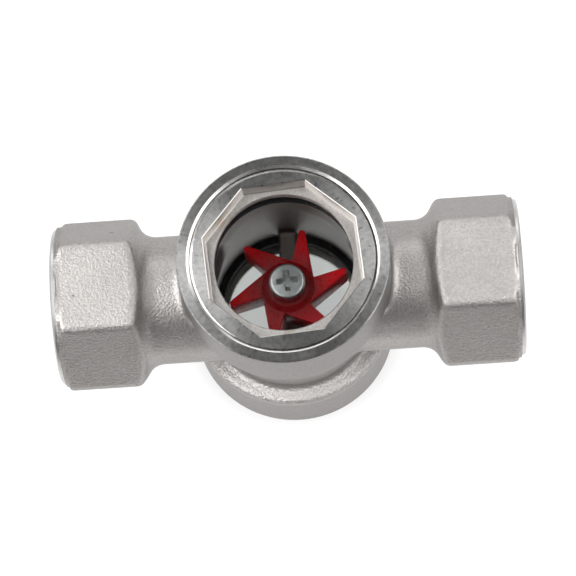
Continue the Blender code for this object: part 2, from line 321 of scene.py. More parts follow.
def thread_shape(phase):
    """0 at the root and 1 at the crest of a thread, for a phase of 0 to 1 along one pitch."""
    return np.clip((0.5 - np.abs(phase - 0.5)) * THREAD_FLANK - THREAD_ROOT, 0.0, 1.0)


def threaded(low, high, root, crest, pitch, segments, radius_limit):
    """Points and faces of a closed threaded bar along Z. radius_limit(height) trims it with chamfers."""
    rows = int(math.ceil((high - low) / pitch * THREAD_STEPS)) + 1
    heights = np.linspace(low, high, rows)
    turns = np.arange(segments) / segments
    points = []
    for height in heights:
        radius = root + (crest - root) * thread_shape((height / pitch - turns) % 1.0)
        radius = np.minimum(radius, radius_limit(height))
        angles = 2 * math.pi * turns
        points += list(zip(radius * np.cos(angles), radius * np.sin(angles), [height] * segments))
    faces = []
    for row in range(rows - 1):
        for step in range(segments):
            on = (step + 1) % segments
            below, above = row * segments, (row + 1) * segments
            faces.append([below + step, below + on, above + on, above + step])
    for end, height in ((0, low), (rows - 1, high)):
        middle = len(points)
        points.append((0.0, 0.0, height))
        for step in range(segments):
            corners = [end * segments + step, end * segments + (step + 1) % segments, middle]
            faces.append(corners if end else corners[::-1])
    return points, faces


def lofted(sections):
    """Points and faces of a closed solid through outlines of (x, y) pairs, each at its own height."""
    points, faces = [], []
    count = len(sections[0][0])
    for outline, height in sections:
        points += [(x, y, height) for x, y in outline]
    for row in range(len(sections) - 1):
        for step in range(count):
            on = (step + 1) % count
            below, above = row * count, (row + 1) * count
            faces.append([below + step, below + on, above + on, above + step])
    faces.append(list(range(count))[::-1])
    faces.append(list(range(len(points) - count, len(points))))
    return points, faces


def polar(radius, degrees):
    return (radius * math.cos(math.radians(degrees)), radius * math.sin(math.radians(degrees)))


# ---------------------------------------------------------------- distance fields and their skin


def joined(a, b, blend=0.0):
    """The nearer of two solids, with a fillet about as wide as blend where they meet."""
    if blend <= 0:
        return np.minimum(a, b)
    overlap = np.maximum(blend - np.abs(a - b), 0.0) / blend
    return np.minimum(a, b) - overlap * overlap * blend / 4


def common(a, b, blend=0.0):
    return -joined(-a, -b, blend)


def cut_by(a, b, blend=0.0):
    return common(a, -b, blend)


def rod(across, along, radius, low, high, edge=0.0):
    """A round bar: its distance from the axis is across, and it runs from low to high."""
    beyond = np.abs(along - (low + high) / 2) - (high - low) / 2 + edge
    outside = across - radius + edge
    inner = np.minimum(np.maximum(beyond, outside), 0.0)
    return inner + np.hypot(np.maximum(beyond, 0.0), np.maximum(outside, 0.0)) - edge


def block(x, y, z, half, edge):
    """A box about the origin with rounded edges."""
    gaps = [np.abs(value) - size + edge for value, size in zip((x, y, z), half)]
    outer = np.sqrt(sum(np.maximum(gap, 0.0) ** 2 for gap in gaps))
    return outer + np.minimum(np.maximum(np.maximum(gaps[0], gaps[1]), gaps[2]), 0.0) - edge


def hexagon(y, z, half_flats, fillet):
    """A hexagon bar with flats towards +Z and -Z, and filleted corners."""
    size = half_flats - fillet
    cosine, sine, tangent = math.cos(math.pi / 6), 0.5, math.tan(math.pi / 6)
    across, up = np.abs(y), np.abs(z)
    fold = np.minimum(-cosine * across + sine * up, 0.0)
    across = across + 2 * cosine * fold
    up = up - 2 * sine * fold
    across = across - np.clip(across, -tangent * size, tangent * size)
    up = up - size
    return np.hypot(across, up) * np.sign(up) - fillet


def slope(across, along, start, end):
    """Distance outside the cone through two (radius, place) points, which fall in order along the axis."""
    (radius_a, place_a), (radius_b, place_b) = start, end
    run, rise = place_b - place_a, radius_b - radius_a
    length = math.hypot(run, rise)
    return ((across - radius_a) * run - (along - place_a) * rise) / length


def cast_field(x, y, z):
    """Distance from the skin of the casting, before machining."""
    from_window_axis = np.hypot(x, y)
    from_pipe_axis = np.hypot(y, z)
    along, up = np.abs(x), np.abs(z)

    waist = rod(from_window_axis, z, WAIST_RADIUS, -WAIST_REACH, WAIST_REACH)
    boss = rod(from_window_axis, up, RIM_RADIUS, BOSS_BASE, HALF_HEIGHT + STOCK, BOSS_ROUNDING)
    drum = joined(waist, boss, WAIST_FILLET)

    pipe = rod(from_pipe_axis, along, PIPE_RADIUS, 0.0, PIPE_REACH)
    ends = hexagon(y, z, HEX_HALF_FLATS, HEX_CORNER_FILLET)
    ends = common(ends, slope(from_pipe_axis, along, *HEX_INNER_CONE), HEX_INNER_FILLET)
    ends = common(ends, slope(from_pipe_axis, along, *HEX_OUTER_CONE), HEX_OUTER_FILLET)
    ends = common(ends, along - HEX_END)
    collar_radius = END_FACE_RADIUS + COLLAR_STOCK
    collar = rod(from_pipe_axis, along, collar_radius, COLLAR_START, HALF_LENGTH + END_STOCK, END_ROUNDING)
    ends = joined(ends, collar, COLLAR_FILLET)
    pipe = joined(pipe, ends, PIPE_TO_HEX_FILLET)
    solid = joined(drum, pipe, PIPE_TO_DRUM_FILLET)

    chamber = rod(from_window_axis, z, CHAMBER_RADIUS, -CHAMBER_REACH, CHAMBER_REACH)
    port = rod(from_pipe_axis, along, PORT_RADIUS, PORT_START, PORT_REACH)
    solid = cut_by(solid, joined(chamber, port, PORT_TO_CHAMBER_FILLET), INSIDE_EDGE_FILLET)
    bridge = block(x, y, z - BRIDGE_MIDDLE, BRIDGE_HALF, BRIDGE_ROUNDING)
    return joined(solid, bridge, BRIDGE_FILLET)


def field_steepness(field, places, reach=0.02):
    """Gradient of a field at each place, by central differences."""
    slopes = []
    for axis in range(3):
        shift = np.zeros(3)
        shift[axis] = reach
        slopes.append((field(*(places + shift).T) - field(*(places - shift).T)) / (2 * reach))
    return np.stack(slopes, axis=1)


def skin(field, low, high, step):
    """Mesh the zero surface of a field: one point for each grid cell that the surface crosses."""
    axes = [np.arange(a, b + step, step) for a, b in zip(low, high)]
    value = field(*np.meshgrid(*axes, indexing="ij"))
    shape = np.array(value.shape) - 1
    cells, places, loops = [], [], []
    for axis in range(3):
        lower = np.delete(value, -1, axis)
        upper = np.delete(value, 0, axis)
        edge = np.argwhere((lower < 0) != (upper < 0))
        at = tuple(edge.T)
        place = edge.astype(float)
        place[:, axis] += lower[at] / (lower[at] - upper[at])
        first, second = [other for other in range(3) if other != axis]
        around = []
        for back_first, back_second in ((0, 0), (1, 0), (1, 1), (0, 1)):
            cell = edge.copy()
            cell[:, first] -= back_first
            cell[:, second] -= back_second
            around.append(np.ravel_multi_index(cell.T, shape))
            cells.append(around[-1])
            places.append(place)
        loop = np.stack(around, axis=1)
        backwards = (lower[at] >= 0) != (axis == 1)
        loop[backwards] = loop[backwards, ::-1]
        loops.append(loop)
    cells, places, loops = np.concatenate(cells), np.concatenate(places), np.concatenate(loops)
    used, index = np.unique(cells, return_inverse=True)
    hits = np.bincount(index)
    points = np.stack([np.bincount(index, places[:, axis]) / hits for axis in range(3)], axis=1)
    points = points * step + np.array(low)
    for _ in range(4):  # Newton steps, which bring the points onto the surface
        slopes = field_steepness(field, points)
        move = field(*points.T) / np.maximum((slopes ** 2).sum(axis=1), 0.2)
        points -= slopes * np.clip(move, -step / 2, step / 2)[:, None]
    return points, np.searchsorted(used, loops).tolist()


# ---------------------------------------------------------------- materials


class Look:
    """A small helper round one material's node tree."""

    def __init__(self, name):
        self.material = bpy.data.materials.new(name)
        self.material.use_nodes = True
        self.nodes = self.material.node_tree.nodes
        self.shader = self.nodes["Principled BSDF"]
        self.output = self.nodes["Material Output"]

    def add(self, kind, **settings):
        node = self.nodes.new("ShaderNode" + kind)
        for name, value in settings.items():
            setattr(node, name, value)
        return node

    def link(self, source, target):
        self.material.node_tree.links.new(source, target)

    def fix(self, **values):
        for name, value in values.items():
            self.shader.inputs[name.replace("_", " ")].default_value = value

    def place(self):
        return self.add("TexCoord").outputs["Object"]

    def noise(self, scale, detail=3.0, rough=0.55, vector=None):
        """Noise over the object, with its scale in cells per metre, or over another vector."""
        node = self.add("TexNoise")
        node.inputs["Scale"].default_value = scale
        node.inputs["Detail"].default_value = detail
        node.inputs["Roughness"].default_value = rough
        self.link(vector or self.place(), node.inputs["Vector"])
        return node.outputs["Fac"]

    def ramp(self, source, *stops):
        """A colour ramp from (place, colour or grey) stops."""
        node = self.add("ValToRGB")
        while len(node.color_ramp.elements) < len(stops):
            node.color_ramp.elements.new(0.5)
        for element, (place, colour) in zip(node.color_ramp.elements, stops):
            element.position = place
            element.color = (*colour, 1.0) if isinstance(colour, tuple) else (colour, colour, colour, 1.0)
        self.link(source, node.inputs["Fac"])
        return node.outputs["Color"]

    def mix(self, amount, first, second, blend="MIX"):
        """Mix two colours. Each may be a socket or a colour, and the amount a socket or a number."""
        node = self.add("Mix", data_type="RGBA", blend_type=blend)
        for socket, value in ((node.inputs[0], amount), (node.inputs[6], first), (node.inputs[7], second)):
            if isinstance(value, bpy.types.NodeSocket):
                self.link(value, socket)
            else:
                socket.default_value = (*value, 1.0) if isinstance(value, tuple) else value
        return node.outputs[2]

    def maths(self, operation, first, second=0.0):
        node = self.add("Math", operation=operation)
        for socket, value in zip(node.inputs, (first, second)):
            if isinstance(value, bpy.types.NodeSocket):
                self.link(value, socket)
            else:
                socket.default_value = value
        return node.outputs[0]

    def span(self, source, low, high):
        """Map 0 to 1 onto low to high."""
        node = self.add("MapRange")
        self.link(source, node.inputs["Value"])
        node.inputs["To Min"].default_value = low
        node.inputs["To Max"].default_value = high
        return node.outputs["Result"]

    def bump(self, height, depth, strength=1.0, under=None):
        node = self.add("Bump")
        node.inputs["Distance"].default_value = depth * MM
        if isinstance(strength, bpy.types.NodeSocket):
            self.link(strength, node.inputs["Strength"])
        else:
            node.inputs["Strength"].default_value = strength
        self.link(height, node.inputs["Height"])
        if under is not None:
            self.link(under, node.inputs["Normal"])
        return node.outputs["Normal"]

    def drive(self, **sockets):
        for name, source in sockets.items():
            self.link(source, self.shader.inputs[name.replace("_", " ")])


def distance_from_z(look):
    """Distance from the Z axis, in metres."""
    split = look.add("SeparateXYZ")
    look.link(look.place(), split.inputs[0])
    flat = look.add("CombineXYZ")
    look.link(split.outputs[0], flat.inputs[0])
    look.link(split.outputs[1], flat.inputs[1])
    length = look.add("VectorMath", operation="LENGTH")
    look.link(flat.outputs[0], length.inputs[0])
    return length.outputs["Value"]


def cast_steel():
    """Investment-cast stainless steel, bead blasted: orange-peel grain, faint clouds and a few open pits.

    Its colour is darkened at a grazing angle, as painted shade in the blasted hollows. The shoulders of the
    bosses are coarser and have a painted highlight, and the sides of the bosses are a little darker as
    painted shade.
    """
    look = Look("cast_steel_blasted")
    split = look.add("SeparateXYZ")
    look.link(look.place(), split.inputs[0])
    height = look.maths("MULTIPLY", look.maths("ABSOLUTE", split.outputs[2]), 1 / (HALF_HEIGHT * MM))
    full_reach = RIM_RADIUS + HALF_HEIGHT
    reach = look.maths("MULTIPLY", distance_from_z(look), 1 / (full_reach * MM))
    level = BOSS_BASE / HALF_HEIGHT
    edge = RIM_RADIUS / full_reach
    on_level = look.ramp(
        height, (level - 0.055, 0.0), (level - 0.02, 1.0), (level + 0.012, 1.0), (level + 0.04, 0.0)
    )
    inside = look.ramp(reach, (edge, 1.0), (edge + 0.01, 0.0))
    shoulder_coarse_and_lit = look.maths("MULTIPLY", on_level, inside)
    on_side = look.ramp(
        reach, (edge - 0.012, 0.0), (edge - 0.006, 1.0), (edge + 0.004, 1.0), (edge + 0.01, 0.0)
    )
    above = look.ramp(height, (level + 0.035, 0.0), (level + 0.075, 1.0))
    boss_side_shade = look.maths("MULTIPLY", on_side, above)
    grain = look.noise(2000.0, 2.0, 0.55)
    fine = look.noise(4200.0, 2.0, 0.5)
    cloud = look.noise(60.0, 3.0, 0.6)
    pits = look.ramp(look.noise(620.0, 1.0, 0.4), (0.165, 0.0), (0.195, 1.0))
    tone = look.ramp(cloud, (0.3, (0.575, 0.548, 0.530)), (0.7, (0.650, 0.625, 0.606)))
    # Painted highlight: the shoulders of the bosses get a brighter colour. Their stronger bump below is real
    # coarse grain.
    tone = look.mix(shoulder_coarse_and_lit, tone, (0.80, 0.765, 0.745))
    # Painted shade: the sides of the bosses get a darker colour.
    tone = look.mix(boss_side_shade, tone, (0.50, 0.475, 0.46))
    speckle = look.ramp(grain, (0.30, 0.72), (0.62, 1.0))
    tone = look.mix(0.7, tone, speckle, "MULTIPLY")
    tone = look.mix(0.55, tone, pits, "MULTIPLY")
    # Painted shade: the colour darkens where the surface is seen at a grazing angle.
    facing = look.add("LayerWeight").outputs["Facing"]
    grazing_shade = look.ramp(facing, (0.0, 1.0), (0.18, 0.98), (0.3, 0.78), (0.5, 0.84), (0.75, 0.67))
    look.drive(Base_Color=look.mix(1.0, tone, grazing_shade, "MULTIPLY"))
    look.drive(Roughness=look.span(cloud, 0.46, 0.54))
    rough = look.bump(fine, 0.025, 0.9)
    rough = look.bump(grain, 0.26, look.span(shoulder_coarse_and_lit, 0.62, 1.0), rough)
    look.drive(Normal=look.bump(pits, 0.06, 0.8, rough))
    look.fix(Metallic=1.0)
    return look.material


def bore_steel():
    """The inside of the casting: darker, and smoother, than its blasted outside."""
    look = Look("cast_steel_bore")
    grain = look.noise(1500.0, 2.0, 0.5)
    cloud = look.noise(90.0, 3.0, 0.6)
    look.drive(Base_Color=look.ramp(cloud, (0.3, (0.33, 0.31, 0.30)), (0.7, (0.41, 0.385, 0.37))))
    look.drive(Roughness=look.span(cloud, 0.34, 0.44))
    look.drive(Normal=look.bump(grain, 0.02, 0.6))
    look.fix(Metallic=1.0)
    return look.material


def end_steel():
    """The faced ends and the pipe threads: plain satin."""
    look = Look("end_steel_satin")
    cloud = look.noise(240.0, 3.0, 0.6)
    look.drive(Base_Color=look.ramp(cloud, (0.3, (0.64, 0.63, 0.62)), (0.7, (0.72, 0.71, 0.70))))
    look.drive(Roughness=look.span(cloud, 0.38, 0.50))
    look.drive(Normal=look.bump(look.noise(2400.0, 3.0), 0.012, 0.6))
    look.fix(Metallic=1.0)
    return look.material


def turned_steel():
    """Bright turned steel: circular marks, radial chatter, sweeps of light across the flats, a few nicks."""
    look = Look("turned_steel_bright")
    radius = distance_from_z(look)
    line = look.add("TexNoise", noise_dimensions="1D")
    line.inputs["Scale"].default_value = 5200.0
    line.inputs["Detail"].default_value = 3.0
    look.link(radius, line.inputs["W"])
    marks = line.outputs["Fac"]
    cloud = look.noise(110.0, 4.0, 0.6)
    nicks = look.ramp(look.noise(420.0, 2.0, 0.5), (0.21, 0.0), (0.24, 1.0))
    tone = look.ramp(cloud, (0.3, (0.67, 0.665, 0.65)), (0.7, (0.82, 0.815, 0.80)))
    tone = look.mix(0.35, tone, look.ramp(marks, (0.3, 0.55), (0.7, 1.0)), "MULTIPLY")
    around = look.add("TexGradient", gradient_type="RADIAL")
    look.link(look.place(), around.inputs[0])
    marks_in_a_turn, marks_in_a_metre = 150.0, 900.0
    polar_place = look.add("CombineXYZ")
    look.link(look.maths("MULTIPLY", around.outputs["Fac"], marks_in_a_turn), polar_place.inputs[0])
    look.link(look.maths("MULTIPLY", radius, marks_in_a_metre), polar_place.inputs[1])
    chatter = look.noise(1.0, 2.0, 0.5, polar_place.outputs[0])
    tone = look.mix(0.5, tone, look.ramp(chatter, (0.3, 0.6), (0.6, 1.0)), "MULTIPLY")
    look.drive(Base_Color=look.mix(0.5, tone, nicks, "MULTIPLY"))
    look.drive(Roughness=look.span(look.mix(0.5, cloud, chatter), 0.20, 0.40))
    first = look.bump(marks, 0.004, 0.5)
    look.drive(Normal=look.bump(nicks, 0.03, 0.5, first))
    look.fix(Metallic=1.0, Anisotropic=0.7, Anisotropic_Rotation=0.25)
    tangent = look.add("Tangent", direction_type="RADIAL", axis="Z")
    look.link(tangent.outputs["Tangent"], look.shader.inputs["Tangent"])
    return look.material


def edge_steel():
    """Chamfers left bright by the tool."""
    look = Look("edge_steel_bright")
    cloud = look.noise(500.0, 3.0, 0.6)
    look.drive(Base_Color=look.ramp(cloud, (0.3, (0.58, 0.57, 0.555)), (0.7, (0.70, 0.69, 0.675))))
    look.drive(Roughness=look.span(cloud, 0.22, 0.36))
    look.drive(Normal=look.bump(look.noise(900.0, 2.0), 0.012, 0.6))
    look.fix(Metallic=1.0)
    return look.material


def recess_steel():
    """The key recess and the underside of a ring: satin steel with faint tea-coloured stains."""
    look = Look("recess_steel_satin")
    grain = look.noise(1600.0, 3.0, 0.6)
    stain = look.ramp(look.noise(170.0, 3.0, 0.6), (0.60, 0.0), (0.78, 0.6))
    tone = look.ramp(grain, (0.3, (0.58, 0.55, 0.525)), (0.65, (0.70, 0.675, 0.65)))
    look.drive(Base_Color=look.mix(stain, tone, (0.48, 0.34, 0.20)))
    look.drive(Roughness=look.span(grain, 0.34, 0.48))
    look.drive(Normal=look.bump(grain, 0.04, 0.7))
    look.fix(Metallic=1.0)
    return look.material


def rubber():
    """Black rubber with a matt grain."""
    look = Look("gasket_rubber")
    grain = look.noise(1300.0, 4.0, 0.6)
    look.drive(Base_Color=look.ramp(grain, (0.3, (0.008, 0.008, 0.009)), (0.7, (0.016, 0.016, 0.017))))
    look.drive(Roughness=look.span(grain, 0.5, 0.72))
    look.drive(Normal=look.bump(grain, 0.03, 0.4))
    look.fix(Specular_IOR_Level=0.35)
    return look.material


def window_glass():
    """Polished borosilicate. Rays from lamps pass straight through, so that the chamber is lit."""
    look = Look("window_glass_clear")
    look.fix(Base_Color=(0.965, 0.985, 0.975, 1.0), Roughness=0.0, IOR=1.47, Transmission_Weight=1.0)
    smear = look.noise(45.0, 4.0, 0.6)
    look.drive(Roughness=look.ramp(smear, (0.55, 0.0), (0.8, 0.015)))
    clear = look.add("BsdfTransparent")
    clear.inputs["Color"].default_value = (0.90, 0.93, 0.92, 1.0)
    choose = look.add("MixShader")
    look.link(look.add("LightPath").outputs["Is Shadow Ray"], choose.inputs[0])
    look.link(look.shader.outputs[0], choose.inputs[1])
    look.link(clear.outputs[0], choose.inputs[2])
    look.link(choose.outputs[0], look.output.inputs["Surface"])
    return look.material


def red_plastic():
    """Moulded translucent red plastic, painted darker towards the hub as painted shade."""
    look = Look("impeller_red_plastic")
    cloud = look.noise(260.0, 3.0, 0.6)
    outward = look.maths("MULTIPLY", distance_from_z(look), 1 / (BLADE_TIP_RADIUS * MM))
    # Painted shade: the red darkens towards the hub.
    tone = look.ramp(outward, (0.35, (0.34, 0.006, 0.010)), (0.85, (0.80, 0.006, 0.014)))
    look.drive(Base_Color=look.mix(0.4, tone, look.ramp(cloud, (0.3, 0.6), (0.7, 1.0)), "MULTIPLY"))
    look.drive(Roughness=look.span(look.noise(1500.0, 2.0), 0.22, 0.36))
    look.drive(Normal=look.bump(look.noise(900.0, 3.0), 0.01, 0.5))
    look.fix(Subsurface_Weight=0.5, Subsurface_Scale=0.002, IOR=1.45, Specular_IOR_Level=0.4)
    look.shader.inputs["Subsurface Radius"].default_value = (1.0, 0.1, 0.1)
    return look.material


def plated_steel(name, low, high, rough_low, rough_high):
    """Screw, sleeve and washer steel: even, and slightly cloudy."""
    look = Look(name)
    cloud = look.noise(700.0, 4.0, 0.6)
    look.drive(Base_Color=look.ramp(cloud, (0.3, low), (0.7, high)))
    look.drive(Roughness=look.span(cloud, rough_low, rough_high))
    look.drive(Normal=look.bump(look.noise(2600.0, 3.0), 0.012, 0.5))
    look.fix(Metallic=1.0)
    return look.material


# ---------------------------------------------------------------- pieces


def mounted(made, body, slot, *nodes):
    """Say which body a piece moves with, and which CAD nodes it stands for. The slot argument is not used."""
    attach(made, body)
    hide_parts(*nodes)
    return made


def machine_window(body, side, looks):
    """Face one boss, and bore it for the glass and the ring."""
    chamfer_width, chamfer_depth = BORE_CHAMFER
    cone = RING_BORE_RADIUS - GLASS_BORE_RADIUS
    profile = [
        (0.0, SEAT_HEIGHT),
        (GLASS_BORE_RADIUS, SEAT_HEIGHT),
        (GLASS_BORE_RADIUS, RING_BORE_BASE),
        (RING_BORE_RADIUS, RING_BORE_BASE + cone),
        (RING_BORE_RADIUS, HALF_HEIGHT - chamfer_depth),
        (RING_BORE_RADIUS + chamfer_width, HALF_HEIGHT),
        (RIM_RADIUS - RIM_CHAMFER, HALF_HEIGHT),
        (RIM_RADIUS + RIM_CHAMFER, HALF_HEIGHT - 2 * RIM_CHAMFER),
        (RIM_RADIUS + TOOL_MARGIN, HALF_HEIGHT - 2 * RIM_CHAMFER),
        (RIM_RADIUS + TOOL_MARGIN, HALF_HEIGHT + TOOL_MARGIN),
        (0.0, HALF_HEIGHT + TOOL_MARGIN),
    ]
    profile = [(radius, side * height) for radius, height in profile]
    carve(body, turned_object("tool", profile[::side], 256, looks, TURNED))


def machine_end(body, direction, looks):
    """Face one pipe end, chamfer its mouth, and cut the female pipe thread."""
    inner = HALF_LENGTH - SOCKET_DEPTH
    lead_length, lead_slope = SOCKET_LEAD

    def crest_limit(place):
        if place > inner + lead_length:
            return SOCKET_THREAD_RADIUS
        return SOCKET_RADIUS + (place - inner) * lead_slope

    outer = HALF_LENGTH + STOCK
    points, faces = threaded(
        inner, outer, SOCKET_RADIUS, SOCKET_THREAD_RADIUS, PIPE_PITCH, 128, crest_limit
    )
    lay = np.array(Matrix.Rotation(math.radians(90) * direction, 3, "Y").transposed())
    carve(body, mesh_object("tool", np.array(points) @ lay, faces, looks, END_FACE))
    mouth_inner, mouth_outer, mouth_depth = SOCKET_MOUTH
    foot_width, foot_depth = END_COLLAR_FOOT
    foot = HALF_LENGTH - END_COLLAR_DEPTH
    clear = END_FACE_RADIUS + 2 * TOOL_MARGIN
    profile = [
        (0.0, HALF_LENGTH - mouth_depth),
        (mouth_inner, HALF_LENGTH - mouth_depth),
        (mouth_outer, HALF_LENGTH),
        (END_FACE_RADIUS - END_FACE_CHAMFER, HALF_LENGTH),
        (END_FACE_RADIUS, HALF_LENGTH - END_FACE_CHAMFER),
        (END_FACE_RADIUS, foot),
        (END_FACE_RADIUS + foot_width, foot - foot_depth),
        (clear, foot - foot_depth),
        (clear, HALF_LENGTH + TOOL_MARGIN),
        (0.0, HALF_LENGTH + TOOL_MARGIN),
    ]
    carve(body, turned_object("tool", profile, 192, looks, END_FACE, along_x=direction))


def finish_slopes(made, look, radii, heights):
    """Give a finish to the sloping faces within a span of radius, and of height above or below the pipe."""
    for face in made.data.polygons:
        middle = face.center / MM
        radius = math.hypot(middle.x, middle.y)
        near = radii[0] < radius < radii[1] and heights[0] < abs(middle.z) < heights[1]
        if near and 0.3 < abs(face.normal.z) < 0.95:
            face.material_index = look


def make_body(looks):
    """The cast skin with its bosses and ends machined."""
    reach = BODY_HIGH + np.array(GRID_MARGIN)
    points, faces = skin(cast_field, -reach, reach, SKIN_STEP)
    body = mesh_object("cast_body", points, faces, looks, CAST)
    for face in body.data.polygons:
        middle = face.center / MM
        from_window_axis = math.hypot(middle.x, middle.y)
        in_chamber = from_window_axis < CHAMBER_RADIUS + 0.3 and abs(middle.z) < SEAT_HEIGHT
        in_port = math.hypot(middle.y, middle.z) < PORT_RADIUS + 0.5
        if in_chamber or in_port:
            face.material_index = BORE
    for side in (1, -1):
        machine_window(body, side, looks)
        machine_end(body, side, looks)
    base, top = PIVOT_HOLE
    hole = [(0.0, base), (SLEEVE_BORE_RADIUS, base), (SLEEVE_BORE_RADIUS, top), (0.0, top)]
    carve(body, turned_object("tool", hole, 48, looks, TURNED))
    chamfer_width, chamfer_depth = BORE_CHAMFER
    chamfer_radii = (RING_BORE_RADIUS, RING_BORE_RADIUS + chamfer_width)
    finish_slopes(body, BRIGHT, chamfer_radii, (HALF_HEIGHT - chamfer_depth, HALF_HEIGHT))
    smooth(body, 50)
    sharpen(body, {TURNED, END_FACE, BRIGHT})
    return mounted(body, "housing", "cast_steel", "body_casting")


def octagon(radius, turn):
    """The outline of the key recess, with slightly rounded corners."""
    outline = []
    side_angle = 360 / KEY_SIDES
    half = side_angle / 2
    inset = radius - KEY_CORNER_ROUNDING / math.cos(math.radians(half))
    for step in range(KEY_SIDES):
        middle = turn + side_angle * step
        for part in (-half, -half / 3, half / 3, half):
            x, y = polar(inset, middle)
            dx, dy = polar(KEY_CORNER_ROUNDING, middle + part)
            outline.append((x + dx, y + dy))
    return outline


def flipped(points, faces, side):
    """Mirror a shape to the lower window when side is -1."""
    if side > 0:
        return points, faces
    return np.array(points) * (1, 1, -1), [corners[::-1] for corners in faces]


def make_ring(name, side, looks, node):
    """A retaining ring: threaded outside, turned on top, with the key recess and the sight hole."""
    low, high = RING_BASE, HALF_HEIGHT

    def crest_limit(height):
        top_chamfer = RING_THREAD_RADIUS - RING_TOP_CHAMFER + (high - height)
        base_chamfer = RING_THREAD_RADIUS - RING_BASE_CHAMFER + (height - low)
        return min(RING_THREAD_RADIUS, top_chamfer, base_chamfer)

    root = RING_THREAD_RADIUS - RING_THREAD_DEPTH
    points, faces = threaded(low, high, root, RING_THREAD_RADIUS, RING_PITCH, 192, crest_limit)
    ring = mesh_object(name, *flipped(points, faces, side), looks, RING_TURNED)
    turn = KEY_TURN[side]
    foot_width, foot_height = KEY_FOOT_FILLET
    extra_width, extra_height = KEY_TOOL_TOP
    sections = [
        (octagon(KEY_FLOOR_RADIUS - foot_width, turn), RING_FLOOR),
        (octagon(KEY_FLOOR_RADIUS, turn), RING_FLOOR + foot_height),
        (octagon(KEY_RADIUS, turn), high - KEY_EDGE_DEPTH),
        (octagon(KEY_RADIUS + extra_width, turn), high + extra_height),
    ]
    carve(ring, mesh_object("tool", *flipped(*lofted(sections), side), looks, RING_RECESS))
    hole_top = RING_FLOOR + 2 * SIGHT_CHAMFER
    hole = [
        (0.0, low - TOOL_MARGIN),
        (SIGHT_RADIUS, low - TOOL_MARGIN),
        (SIGHT_RADIUS, RING_FLOOR - SIGHT_CHAMFER),
        (SIGHT_RADIUS + 3 * SIGHT_CHAMFER, hole_top),
        (0.0, hole_top),
    ]
    carve(ring, mesh_object("tool", *flipped(*turned(hole, 192), side), looks, RING_RECESS))
    finish_slopes(ring, RING_BRIGHT, (SIGHT_RADIUS, KEY_RADIUS + 0.3), (high - KEY_EDGE_DEPTH, high))
    finish_slopes(ring, RING_BRIGHT, (SIGHT_RADIUS, KEY_RADIUS), (RING_FLOOR, RING_FLOOR + foot_height))
    for face in ring.data.polygons:
        if abs(face.center.z) < (low + 0.1) * MM:
            face.material_index = RING_RECESS
    smooth(ring, 30)
    sharpen(ring, {RING_TURNED, RING_RECESS, RING_BRIGHT})
    return mounted(ring, "housing", "turned_steel", node)


def washer_profile(inner, outer, low, high, fillet):
    return rounded([(inner, low, fillet), (outer, low, fillet), (outer, high, fillet), (inner, high, fillet)])


def make_window(prefix, side, looks):
    """Ring, glass and two gaskets of one window."""
    make_ring(prefix + "_window_ring", side, looks["ring"], prefix + "_retaining_ring")
    low, high = GLASS_LOW[2], GLASS_HIGH[2]
    flat_radius = WINDOW_RADIUS - GLASS_CHAMFER
    profile = [
        (0.0, low),
        (flat_radius, low),
        (WINDOW_RADIUS, low + GLASS_CHAMFER),
        (WINDOW_RADIUS, high - GLASS_CHAMFER),
        (flat_radius, high),
        (0.0, high),
    ]
    glass = mesh_object(prefix + "_window_pane", *flipped(*turned(profile, 128), side), looks["glass"])
    smooth(glass, 30)
    mounted(glass, "housing", "window_glass", prefix + "_glass")
    spans = (
        ("seat", SEAT_GASKET_INNER_RADIUS, SEAT_GASKET_LOW[2], SEAT_GASKET_HIGH[2]),
        ("cushion", CUSHION_INNER_RADIUS, CUSHION_LOW[2], CUSHION_HIGH[2]),
    )
    for kind, inner, low, high in spans:
        profile = washer_profile(inner, WINDOW_RADIUS, low, high, GASKET_ROUNDING)
        name = f"{prefix}_{kind}_seal"
        seal = mesh_object(name, *flipped(*turned(profile, 128), side), looks["rubber"])
        smooth(seal, 40)
        mounted(seal, "housing", "black_rubber", f"{prefix}_{kind}_gasket")


def blade_outline():
    """Saw-tooth blades: a steep side and a long slanting side, round at the tip and filleted at the root."""
    outline = []
    for blade in range(BLADE_COUNT):
        tip = BLADE_TURN + 360 / BLADE_COUNT * blade
        for angle in (tip - BLADE_TIP_HALF_ANGLE, tip + BLADE_TIP_HALF_ANGLE):
            outline.append((*polar(BLADE_TIP_RADIUS, angle), BLADE_TIP_ROUNDING))
        outline.append((*polar(BLADE_ROOT_RADIUS, tip + BLADE_ROOT_TURN), BLADE_ROOT_FILLET))
    return rounded(outline, 4)


def make_impeller(looks):
    """Six blades round a hub whose foot slopes into them, bored for the sleeve."""
    low, high = IMPELLER_LOW[2], IMPELLER_HIGH[2]
    outline = blade_outline()
    impeller = mesh_object("red_impeller", *lofted([(outline, low), (outline, BLADE_TOP)]), looks)
    bevelled(impeller, BLADE_EDGE, 3, 50)
    hub = rounded([
        (0.0, low + 1.0, 0),
        (HUB_RADIUS, low + 1.0, 0),
        (HUB_RADIUS, BLADE_TOP - 1.0, 0),
        (HUB_FOOT_RADIUS, BLADE_TOP - 0.1, HUB_FOOT_FILLET),
        (HUB_TOP_RADIUS, high, HUB_TOP_ROUNDING),
        (0.0, high, 0),
    ])
    carve(impeller, turned_object("tool", hub, 96, looks), "UNION")
    past = 0.7
    flare = HUB_BORE_RADIUS + HUB_BORE_CHAMFER + past
    bore = [
        (0.0, low - 1.0),
        (flare, low - past),
        (HUB_BORE_RADIUS, low + HUB_BORE_CHAMFER),
        (HUB_BORE_RADIUS, high - HUB_BORE_CHAMFER),
        (flare, high + past),
        (0.0, high + 1.0),
    ]
    carve(impeller, turned_object("tool", bore, 96, looks))
    smooth(impeller, 30)
    return mounted(impeller, "rotor", "red_plastic", "impeller")


